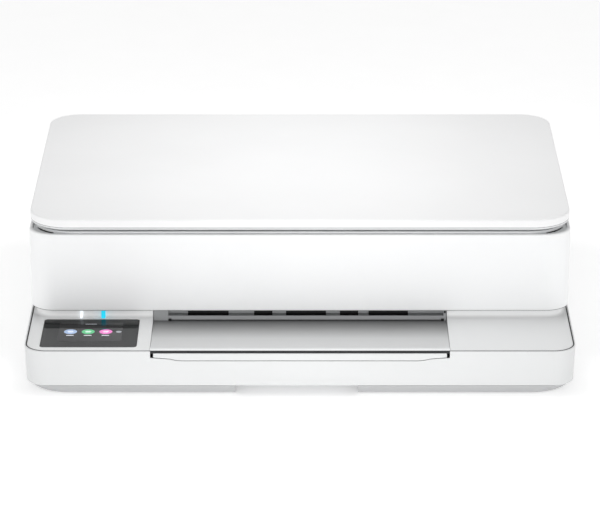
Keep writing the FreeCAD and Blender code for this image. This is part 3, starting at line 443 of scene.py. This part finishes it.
# Painted shade and highlight: the plate's colour runs from dark at the rollers to nearly white at its front
# nose.
shade_and_highlight_ramp = tree.nodes.new("ShaderNodeValToRGB")
shade_and_highlight_ramp.color_ramp.elements[0].color = (0.2, 0.203, 0.206, 1)
shade_and_highlight_ramp.color_ramp.elements[1].color = (0.96, 0.965, 0.97, 1)
for place, shade in ((0.2, 0.36), (0.5, 0.64), (0.86, 0.7), (0.93, 0.95)):
    stop = shade_and_highlight_ramp.color_ramp.elements.new(place)
    stop.color = (shade, shade * 1.01, shade * 1.015, 1)
tree.links.new(span_along(tree, "Y", plate_rear, plate_front), shade_and_highlight_ramp.inputs["Fac"])
tree.links.new(shade_and_highlight_ramp.outputs["Color"], tree.nodes["Principled BSDF"].inputs["Base Color"])
guide_grey = moulded_plastic("guide_grey", (0.36, 0.368, 0.375), 0.42, grain=0.1)
give_finish(bay_grey_painted_shade, "output_plate")
give_finish(guide_grey, "exit_guide")
window_spans = ((-90, -57.3), (-36.9, -22.1), (-11.3, 21), (32, 46.8), (55, 86.8))
slot_spans = ((-105.5, -103.1), (113.2, 115.5))
# Painted shadow: black blocks behind the guide's windows and in its end slots stand for the shade inside.
shadow_blocks = bmesh.new()
for low, high in window_spans:
    add_block(shadow_blocks, (low + 0.1, -102.9, 37.0), (high - 0.1, -95.6, 37.3), 0.2, 0.05)
    add_block(shadow_blocks, (low + 0.1, -97.4, 37.2), (high - 0.1, -96.0, 45.9), 0.2, 0.1, along="y")
for low, high in slot_spans:
    add_block(shadow_blocks, (low, -104.9, 32.4), (high, -104.1, 35.6), 0.3, 0.1, along="y")
add_block(shadow_blocks, (115.4, -104.4, 40.2), (116.8, -103.6, 42.2), 0.3, 0.1, along="y")
painted_shadow_black = moulded_plastic("painted_shadow_black", (0.004, 0.004, 0.0045), 0.75, grain=0.2)
set_down("window_painted_shadows", shadow_blocks, painted_shadow_black, "root")

# Star wheels: thin toothed steel wheels on sprung pins over the output rollers, one pair to a window.
# They press the wet sheet onto the rollers with points that leave no mark.
drawn_steel, tree, skin = start_material("drawn_steel")
skin.inputs["Metallic"].default_value = 1.0
drawn_stretch = tree.nodes.new("ShaderNodeMapping")
drawn_stretch.inputs["Scale"].default_value = (30.0, 1600.0, 1600.0)
lay_by_object(tree, drawn_stretch)
drawn_lines = tree.nodes.new("ShaderNodeTexNoise")
drawn_lines.inputs["Scale"].default_value = 1.0
tree.links.new(drawn_stretch.outputs["Vector"], drawn_lines.inputs["Vector"])
tint_by(tree, drawn_lines, (0.5, 0.51, 0.52), (0.66, 0.67, 0.68))
gloss_by(tree, drawn_lines, 0.22, 0.42)
relief_by(tree, drawn_lines, 0.25, 0.00003)
wheel_y, wheel_z = -30, 41.9
tip_radius, root_radius, hub_radius = 3.0, 2.3, 0.9
half_sheet = 0.12
tooth_points = 36
for index, wheel_x in enumerate((-84, -28, 28, 84)):
    star = bmesh.new()
    for lift in (-2.2, 2.2):
        rings = []
        for travel, at_hub in ((-half_sheet, True), (-half_sheet, False),
                               (half_sheet, False), (half_sheet, True)):
            ring = []
            for i in range(tooth_points):
                angle = 2 * math.pi * i / tooth_points
                radius = hub_radius if at_hub else (tip_radius if i % 2 else root_radius)
                ring.append(((wheel_x + lift + travel) / 1000, (wheel_y + radius * math.cos(angle)) / 1000,
                             (wheel_z + radius * math.sin(angle)) / 1000))
            rings.append(ring)
        add_rings(star, rings)
    add_turned(star, (wheel_x - 5, wheel_y, wheel_z), ((0, 0.7), (0.2, 0.85), (9.8, 0.85), (10, 0.7)),
               along="x", sides=16)
    set_down(f"star_wheels_{index}", star, drawn_steel, "root", smooth=25)

# Frame and rail: two upright plates with the shaft bearings, and the pressed steel rail between them.
# Plates are black plastic; the rail, the hinge pins and the round bars are drawn steel.
give_finish(inner_black, "mechanism_frame")
give_finish(drawn_steel, "carriage_rail", "unit_hinge_pins", "lid_hinge_pins", "feed_shaft", "scan_rail")

# Feed, output and pick shafts: one ground steel bar, and two plastic shafts moulded with their gears.
# Black rubber tyres with a coarse grain bite the sheet, and a train of plastic gears turns them.
roller_rubber = moulded_plastic("roller_rubber", (0.035, 0.035, 0.036), 0.75, grain=0.5, pitch=0.0007,
                                drift=0.2)
give_finish(roller_rubber, "feed_tyres", "output_tyres", "pick_roller", "carriage_belt")
acetal_white = moulded_plastic("acetal_white", (0.78, 0.77, 0.72), 0.3, grain=0.05, pitch=0.0009)
give_finish(acetal_white, "feed_gear", "transfer_gear_front", "transfer_gear_rear", "feed_pinion",
            "output_shaft", "pick_shaft", "motor_pulley", "idler_pulley", "guide_pinion", "pinch_rollers")

# Motors: two small can motors, one on the rail for the carriage and one on the left plate for the feed.
# Zinc-plated cans with a pressed and stepped black end cap.
zinc_can = moulded_plastic("zinc_can", (0.5, 0.51, 0.52), 0.3, grain=0.05, pitch=0.001, drift=0.05)
zinc_can.node_tree.nodes["Principled BSDF"].inputs["Metallic"].default_value = 1.0
give_finish(zinc_can, "carriage_motor", "feed_motor")
cap_steps = [(0, 10.4), (1.2, 10.4), (2.0, 9.6), (2.2, 4.4), (4.2, 4.2), (4.5, 3.8)]
for cap_name, cap_centre, cap_along, outward in (("carriage_motor_cap", (-150, 86, 70), "y", 1),
                                                 ("feed_motor_cap", (-201, 40, 59.5), "x", -1)):
    cap = bmesh.new()
    add_turned(cap, cap_centre, [(outward * travel, radius) for travel, radius in cap_steps],
               along=cap_along, sides=40)
    set_down(cap_name, cap, inner_black, "root")

# Encoder strip: clear film behind the carriage, printed with fine black lines that count its travel.
# Polyester film, stretched between the two ends of the rail.
encoder_film, tree, skin = start_material("encoder_film")
skin.inputs["Alpha"].default_value = 0.75
film_lines = tree.nodes.new("ShaderNodeTexWave")
film_lines.inputs["Scale"].default_value = 400.0
lay_by_object(tree, film_lines)
tint_by(tree, film_lines, (0.03, 0.03, 0.035), (0.6, 0.63, 0.65))
gloss_by(tree, film_lines, 0.1, 0.25)
give_finish(encoder_film, "encoder_strip")

# Service station: the grey tub under the parked carriage that caps and wipes the nozzles.
# Soft rubber caps stand on it, with a thin wiper blade in front of each.
give_finish(moulded_plastic("service_grey", (0.2, 0.205, 0.21), 0.5, grain=0.25, drift=0.1), "service_station")
caps = bmesh.new()
for cap_x in (142, 168):
    add_block(caps, (cap_x - 5, -1, 39.4), (cap_x + 5, 13, 40.2), 2, 0.3)
    add_block(caps, (cap_x - 4.5, -12, 12), (cap_x + 4.5, -11, 34), 0.3, 0.2)
set_down("nozzle_caps", caps, roller_rubber, "root")

# Carriage: the black carrier that rides on the rail with two ink cartridges side by side.
# Each cartridge has a blank label, a coloured spot for its place and three rows of contacts.
give_finish(inner_black, "carriage")
cartridge_shell = moulded_plastic("cartridge_shell", (0.055, 0.057, 0.062), 0.42, grain=0.2, drift=0.08)
give_finish(cartridge_shell, "cartridge_black", "cartridge_colour")
blank_label = moulded_plastic("blank_label", (0.8, 0.81, 0.8), 0.55, grain=0.1, pitch=0.0015)
copper_gold = moulded_plastic("copper_gold", (0.83, 0.6, 0.27), 0.25, grain=0.05)
copper_gold.node_tree.nodes["Principled BSDF"].inputs["Metallic"].default_value = 1.0
PLACES = (("black", 132, (0.02, 0.02, 0.022)), ("colour", 168, (0.25, 0.1, 0.45)))
for ink, centre_x, spot_colour in PLACES:
    label = bmesh.new()
    add_block(label, (centre_x - 12, -9, 71.9), (centre_x + 12, 22, 72.15), 1.5, 0.05)
    set_down("cartridge_label_" + ink, label, blank_label, "carriage")
    spot = bmesh.new()
    add_block(spot, (centre_x - 5, -4, 72.1), (centre_x + 5, 6, 72.25), 2.4, 0.04)
    set_down("cartridge_spot_" + ink, spot, moulded_plastic("spot_" + ink, spot_colour, 0.4), "carriage")
    contacts = bmesh.new()
    for row in range(3):
        for column in range(5):
            x, z = centre_x - 8 + column * 4, 50 + row * 5
            add_block(contacts, (x - 1.2, 28.8, z), (x + 1.2, 29.15, z + 3.4), 0.4, 0.05, along="y")
    set_down("cartridge_contacts_" + ink, contacts, copper_gold, "carriage")

# Latches: the grey flap in front of each cartridge that presses it home.
# Three raised thumb bars run across the top of each.
latch_grey = moulded_plastic("latch_grey", (0.3, 0.31, 0.32), 0.42, grain=0.2)
give_finish(latch_grey, "latch_black", "latch_colour")
for ink, centre_x, _ in PLACES:
    grip = bmesh.new()
    for level in (66, 68.4, 70.8):
        add_block(grip, (centre_x - 9, -18.5, level), (centre_x + 9, -17.7, level + 1.1), 0.4, 0.25)
    set_down("latch_grip_" + ink, grip, latch_grey, "flap_" + ink)

# Main board: the printer's controller beside the tray, with its chips, capacitors and connectors.
# The chips have bent tin legs; the ribbon sockets are cream nylon.
board_top = 10.5
chip_black = moulded_plastic("chip_black", (0.02, 0.021, 0.023), 0.5, grain=0.3, pitch=0.0008)
chips = bmesh.new()
pins = bmesh.new()
for x, y, reach in ((150, -120, 18), (140, -80, 10), (170, -60, 12)):
    add_block(chips, (x + 0.4, y + 0.4, 12.9), (x + reach - 0.4, y + reach - 0.4, 13.5), 0.5, 0.2)
    add_turned(chips, (x + 2.2, y + reach - 2.2, 13.4), ((0, 0.7), (0.15, 0.6)), sides=16)
    legs = int(reach / 1.4)
    for leg in range(legs):
        leg_y = y + 1 + leg * (reach - 2) / (legs - 1)
        for leg_x in (x - 1.1, x + reach + 0.1):
            add_block(pins, (leg_x, leg_y - 0.22, board_top), (leg_x + 1.0, leg_y + 0.22, 11.3), 0.08, 0.06)
set_down("board_chips", chips, chip_black, "root")
set_down("board_legs", pins, drawn_steel, "root")
nylon_cream = moulded_plastic("nylon_cream", (0.72, 0.69, 0.58), 0.45, grain=0.2)
sockets = bmesh.new()
for y in (-142, -98, -40):
    add_block(sockets, (174, y, board_top), (188, y + 7, 15.5), 0.6, 0.4)
    add_block(sockets, (176, y + 2, 15.3), (186, y + 5, 16.6), 0.4, 0.3)
set_down("board_sockets", sockets, nylon_cream, "root")
cans = bmesh.new()
for x, y, radius, height in ((142, -138, 3.2, 8), (150, -140, 3.2, 8), (160, -86, 4, 9), (142, -60, 2.6, 6),
                             (142, -52, 2.6, 6), (184, -110, 4, 9)):
    add_turned(cans, (x, y, board_top), ((0, radius), (0.8, radius), (1.1, radius * 0.93), (1.5, radius),
                                         (height - 0.4, radius), (height, radius * 0.86)), sides=24)
set_down("board_capacitors", cans, zinc_can, "root")
bits = bmesh.new()
scatter = random.Random(7)
for _ in range(60):
    x = scatter.uniform(137, 171)
    y = scatter.uniform(-146, -24)
    if (148 < x < 170 and -122 < y < -100) or (138 < x < 152 and -82 < y < -68) or (168 < x and -62 < y < -46):
        continue
    wide, deep = (1.6, 0.9) if scatter.random() < 0.5 else (0.9, 1.6)
    add_block(bits, (x, y, board_top), (x + wide, y + deep, 11.2), 0.1, 0.08)
set_down("board_resistors", bits, chip_black, "root")

# Power supply: a closed black brick that slides in behind the main board, with air ribs on top.
# Its lid is ultrasonically welded, which leaves a fine raised seam right round.
supply_black = moulded_plastic("supply_black", (0.025, 0.026, 0.028), 0.48, grain=0.4, pitch=0.0009)
give_finish(supply_black, "power_supply")
seam = bmesh.new()
add_block(seam, (135.6, 63.6, 21.6), (192.4, 146.4, 22.4), 3.3, 0.3)
for rib in range(9):
    rib_y = 78 + rib * 6
    add_block(seam, (146, rib_y, 39.8), (182, rib_y + 2.4, 40.7), 1, 0.35)
set_down("supply_seam_and_ribs", seam, supply_black, "root")

# Inlet and data socket: both face backwards at the foot of the rear wall.
# The inlet is one black moulding; the data socket is a folded steel shell.
give_finish(supply_black, "power_inlet")
give_finish(zinc_can, "usb_socket")

# Buttons: power and wireless, two round caps in the rear wall.
# Polished caps with a raised ring mark and bar, or three raised arcs, instead of print.
button_grey = moulded_plastic("button_grey", (0.42, 0.43, 0.44), 0.3, grain=0.05)
give_finish(button_grey, "power_button", "wireless_button")
cap_face = 180.2
mark_foot = cap_face - 0.2
power_mark = bmesh.new()
for i in range(13):
    angle = math.radians(-60 + 300 * i / 13 - 60)
    add_turned(power_mark, (60 + 2.2 * math.cos(angle), mark_foot, 22 + 2.2 * math.sin(angle)),
               ((0, 0.36), (0.3, 0.3)), along="y", sides=10)
add_block(power_mark, (59.7, cap_face - 0.1, 22.4), (60.3, cap_face + 0.1, 25.2), 0.2, 0.04, along="y")
set_down("power_mark", power_mark, base_shaded_white, "power_key")
radio_mark = bmesh.new()
for reach in (1.2, 2.3, 3.4):
    for i in range(int(4 + reach * 3)):
        angle = math.radians(45 + 90 * i / (3 + reach * 3))
        add_turned(radio_mark, (82 + reach * math.cos(angle), mark_foot, 20.4 + reach * math.sin(angle)),
                   ((0, 0.34), (0.3, 0.28)), along="y", sides=10)
set_down("radio_mark", radio_mark, base_shaded_white, "wireless_key")

# Paper tray: the well that the sheets lie in, with its two sliding width guides and their pinion.
# Grey moulding with low ribs along the floor, so the bottom sheet doesn't cling.
tray_grey = moulded_plastic("tray_grey", (0.5, 0.51, 0.52), 0.45, grain=0.15)
give_finish(tray_grey, "paper_tray", "width_guide_left", "width_guide_right")
ribs = bmesh.new()
for x in (-72, -48, 48, 72):
    for rib_front, rib_back in ((-160, -52), (-8, 118)):
        add_block(ribs, (x - 0.8, rib_front, 9.8), (x + 0.8, rib_back, 10.15), 0.5, 0.12)
set_down("tray_ribs", ribs, tray_grey, "tray")

# Tray extender: the white lip in the fascia's notch, pulled out to hold printed sheets.
# A thin black strip along the notch's floor is painted shadow, the dark edge of the gap under the lip.
give_finish(base_shaded_white, "tray_extender")
right_half = [(92.6, 28.57, 28.91), (97.1, 28.97, 29.41), (101.6, 29.97, 30.41), (107.5, 30.57, 31.01),
              (116.9, 31.14, 31.56)]
left_half = [(-x, low, high) for x, low, high in reversed(right_half)]
strip_front, strip_back = -179.5, -177.9
lip_shadow_strip = bmesh.new()
add_rings(lip_shadow_strip, [[(x / 1000, y / 1000, z / 1000)
                       for y, z in ((strip_front, low), (strip_back, low),
                                    (strip_back, high), (strip_front, high))]
                      for x, low, high in left_half + right_half])
set_down("lip_shadow_line", lip_shadow_strip, shadow_and_lining_black, "tray")

# Scanner unit: the tall white upper casing, hinged at the back so that it opens for the cartridges.
# One moulding in bright satin plastic, with blind ribs at the rear; a grey strip under its edge is painted
# shadow, the dark line over the neck.
casing_white = moulded_plastic("casing_white", (0.9, 0.906, 0.91), 0.34, grain=0.08)
give_finish(casing_white, "upper_shell")
loop_end = 150
lower_shadow_line = bmesh.new()
add_strip(lower_shadow_line, front_loop(215.8, -106.1, loop_end, 19.4), front_loop(213.9, -104.1, loop_end, 17.5),
          43.0, 43.45)
set_down("casing_shadow_line", lower_shadow_line, moulded_plastic("shadow_line_grey", (0.3, 0.303, 0.306), 0.7, grain=0.3),
         "scanner_unit")
rear_ribs = bmesh.new()
for row in range(7):
    for centre in (-95, 95):
        add_block(rear_ribs, (centre - 26, 179.3, 72 + row * 4), (centre + 26, 179.75, 73.6 + row * 4),
                  0.7, 0.15, along="y")
set_down("rear_ribs", rear_ribs, casing_white, "scanner_unit")

# Scanner bed: the grey tub inside the casing that carries the glass, rail and hinge arms.
# Its rim has a raised corner mark and raised scales along two sides, to line a page up on.
bed_grey = moulded_plastic("bed_grey", (0.8, 0.81, 0.815), 0.42, grain=0.15)
give_finish(bed_grey, "scanner_bed")
mark_low, mark_high = 109.7, 109.95
page_mark = bmesh.new()
add_block(page_mark, (-160, 143.5, mark_low), (-154.5, 149, 110.05), 0.8, 0.12)
for tick in range(1, 15):
    length = 5 if tick % 5 == 0 else 3
    tick_x, tick_y = -154 + tick * 20, 142 - tick * 14
    add_block(page_mark, (-156 - length, tick_y - 0.25, mark_low), (-156, tick_y + 0.25, mark_high), 0.2, 0.06)
    add_block(page_mark, (tick_x - 0.25, 144, mark_low), (tick_x + 0.25, 144 + length, mark_high), 0.2, 0.06)
set_down("page_marks", page_mark, casing_white, "scanner_unit")

# Bed lining: matt black card laid in the bottom of the tub and up its front and rear walls.
# It swallows stray light under the glass, so that only the page is read.
lining_foot, lining_head = 88.2, 105.5
lining = bmesh.new()
add_block(lining, (-209, -96.5, 88.05), (209, 169, 88.5), 16, 0.1)
for wall_front, wall_back in ((-96.9, -96.2), (168.6, 169.4)):
    add_block(lining, (-196, wall_front, lining_foot), (196, wall_back, lining_head), 0.3, 0.1, along="y")
set_down("bed_lining", lining, shadow_and_lining_black, "scanner_unit")

# Platen glass: float glass, 1.8 mm thick, held down in the bed's rim by double-sided tape.
# Slightly green and almost clear; the face shows the scan bar and rail below.
platen, tree, skin = start_material("platen_glass")
skin.inputs["Transmission Weight"].default_value = 0.9
skin.inputs["IOR"].default_value = 1.5
pane_haze = tree.nodes.new("ShaderNodeTexNoise")
pane_haze.inputs["Scale"].default_value = 25.0
lay_by_object(tree, pane_haze)
tint_by(tree, pane_haze, (0.8, 0.88, 0.85), (0.88, 0.94, 0.92))
gloss_by(tree, pane_haze, 0.01, 0.05)
give_finish(platen, "platen_glass")

# Scan bar: the black carrier of the line sensor, sliding under the glass on one steel rod.
# A clear light guide and a rod lens run its whole length in a slot on top.
give_finish(inner_black, "scan_bar")
scan_front, scan_back = -73, 135
lens = bmesh.new()
add_block(lens, (-147.3, scan_front, 101.2), (-145.9, scan_back, 102.6), 0.5, 0.2)
set_down("rod_lens", lens, clear_coated("rod_lens", (0.55, 0.6, 0.6), roughness=0.08), "scan_head")
light_guide = bmesh.new()
add_block(light_guide, (-150.6, scan_front, 102.8), (-148.6, scan_back, 103.3), 0.4, 0.15)
set_down("light_guide", light_guide, clear_coated("light_guide", (0.85, 0.9, 0.92), 0.1), "scan_head")

# Lid: one thin white cover, gently crowned, with the liner clipped under it and hinges at the back.
# Its skin is a touch smoother than the casing's, so it shows the lamps as slow soft gradients.
lid_white = moulded_plastic("lid_white", (0.9, 0.902, 0.905), 0.3, grain=0.05)
give_finish(lid_white, "lid_cover")
liner_grey = moulded_plastic("liner_grey", (0.74, 0.75, 0.755), 0.42, grain=0.1)
give_finish(liner_grey, "lid_liner")
# Painted shadow: a grey strip round the cover's lower edge stands for the shade in the parting groove.
parting = bmesh.new()
add_strip(parting, front_loop(216.32, -106.52, loop_end, 32.02), front_loop(215.2, -105.4, loop_end, 30.9),
          113.05, 113.45)
set_down("lid_parting_shadow", parting, moulded_plastic("parting_shadow_grey", (0.33, 0.335, 0.34), 0.5), "lid")

# Backing pad: white foam under a smooth film, taped to the liner, that presses a page flat.
# The film wraps over the foam, so the pad's edges are soft and its face very slightly crowned.
pad_low, pad_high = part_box("lid_backing")
pad_depth = pad_high.z - pad_low.z
pad_mesh = bmesh.new()
add_rings(pad_mesh, [[(x, y, pad_high.z - pad_depth * level)
                      for x, y in rounded_outline((pad_low.x + inset, pad_low.y + inset),
                                                  (pad_high.x - inset, pad_high.y - inset), 0.004)]
                     for inset, level in ((0, 0.0), (0, 0.35), (0.0003, 0.7), (0.001, 0.92), (0.004, 0.97),
                                          (0.03, 0.985), (0.09, 1.0))])
film_white = moulded_plastic("film_white", (0.88, 0.88, 0.875), 0.5, grain=0.25, pitch=0.0022)
backing_pad = set_down("backing_pad", pad_mesh, film_white, "lid")
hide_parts("lid_backing")

# Casing screws: self-tapping steel screws, sunk in the floor moulding, with a cross recess.
# Drawn steel heads; the cross recess is painted shadow, laid in as black bars.
give_finish(drawn_steel, "casing_screws")
recess = bmesh.new()
for x in (-190, 190):
    for y in (-60, 60):
        for reach_x, reach_y in ((2.0, 0.4), (0.4, 2.0)):
            add_block(recess, (x - reach_x, y - reach_y, 1.05), (x + reach_x, y + reach_y, 1.25), 0.1, 0.04)
set_down("screw_cross_shadows", recess, chip_black, "root")
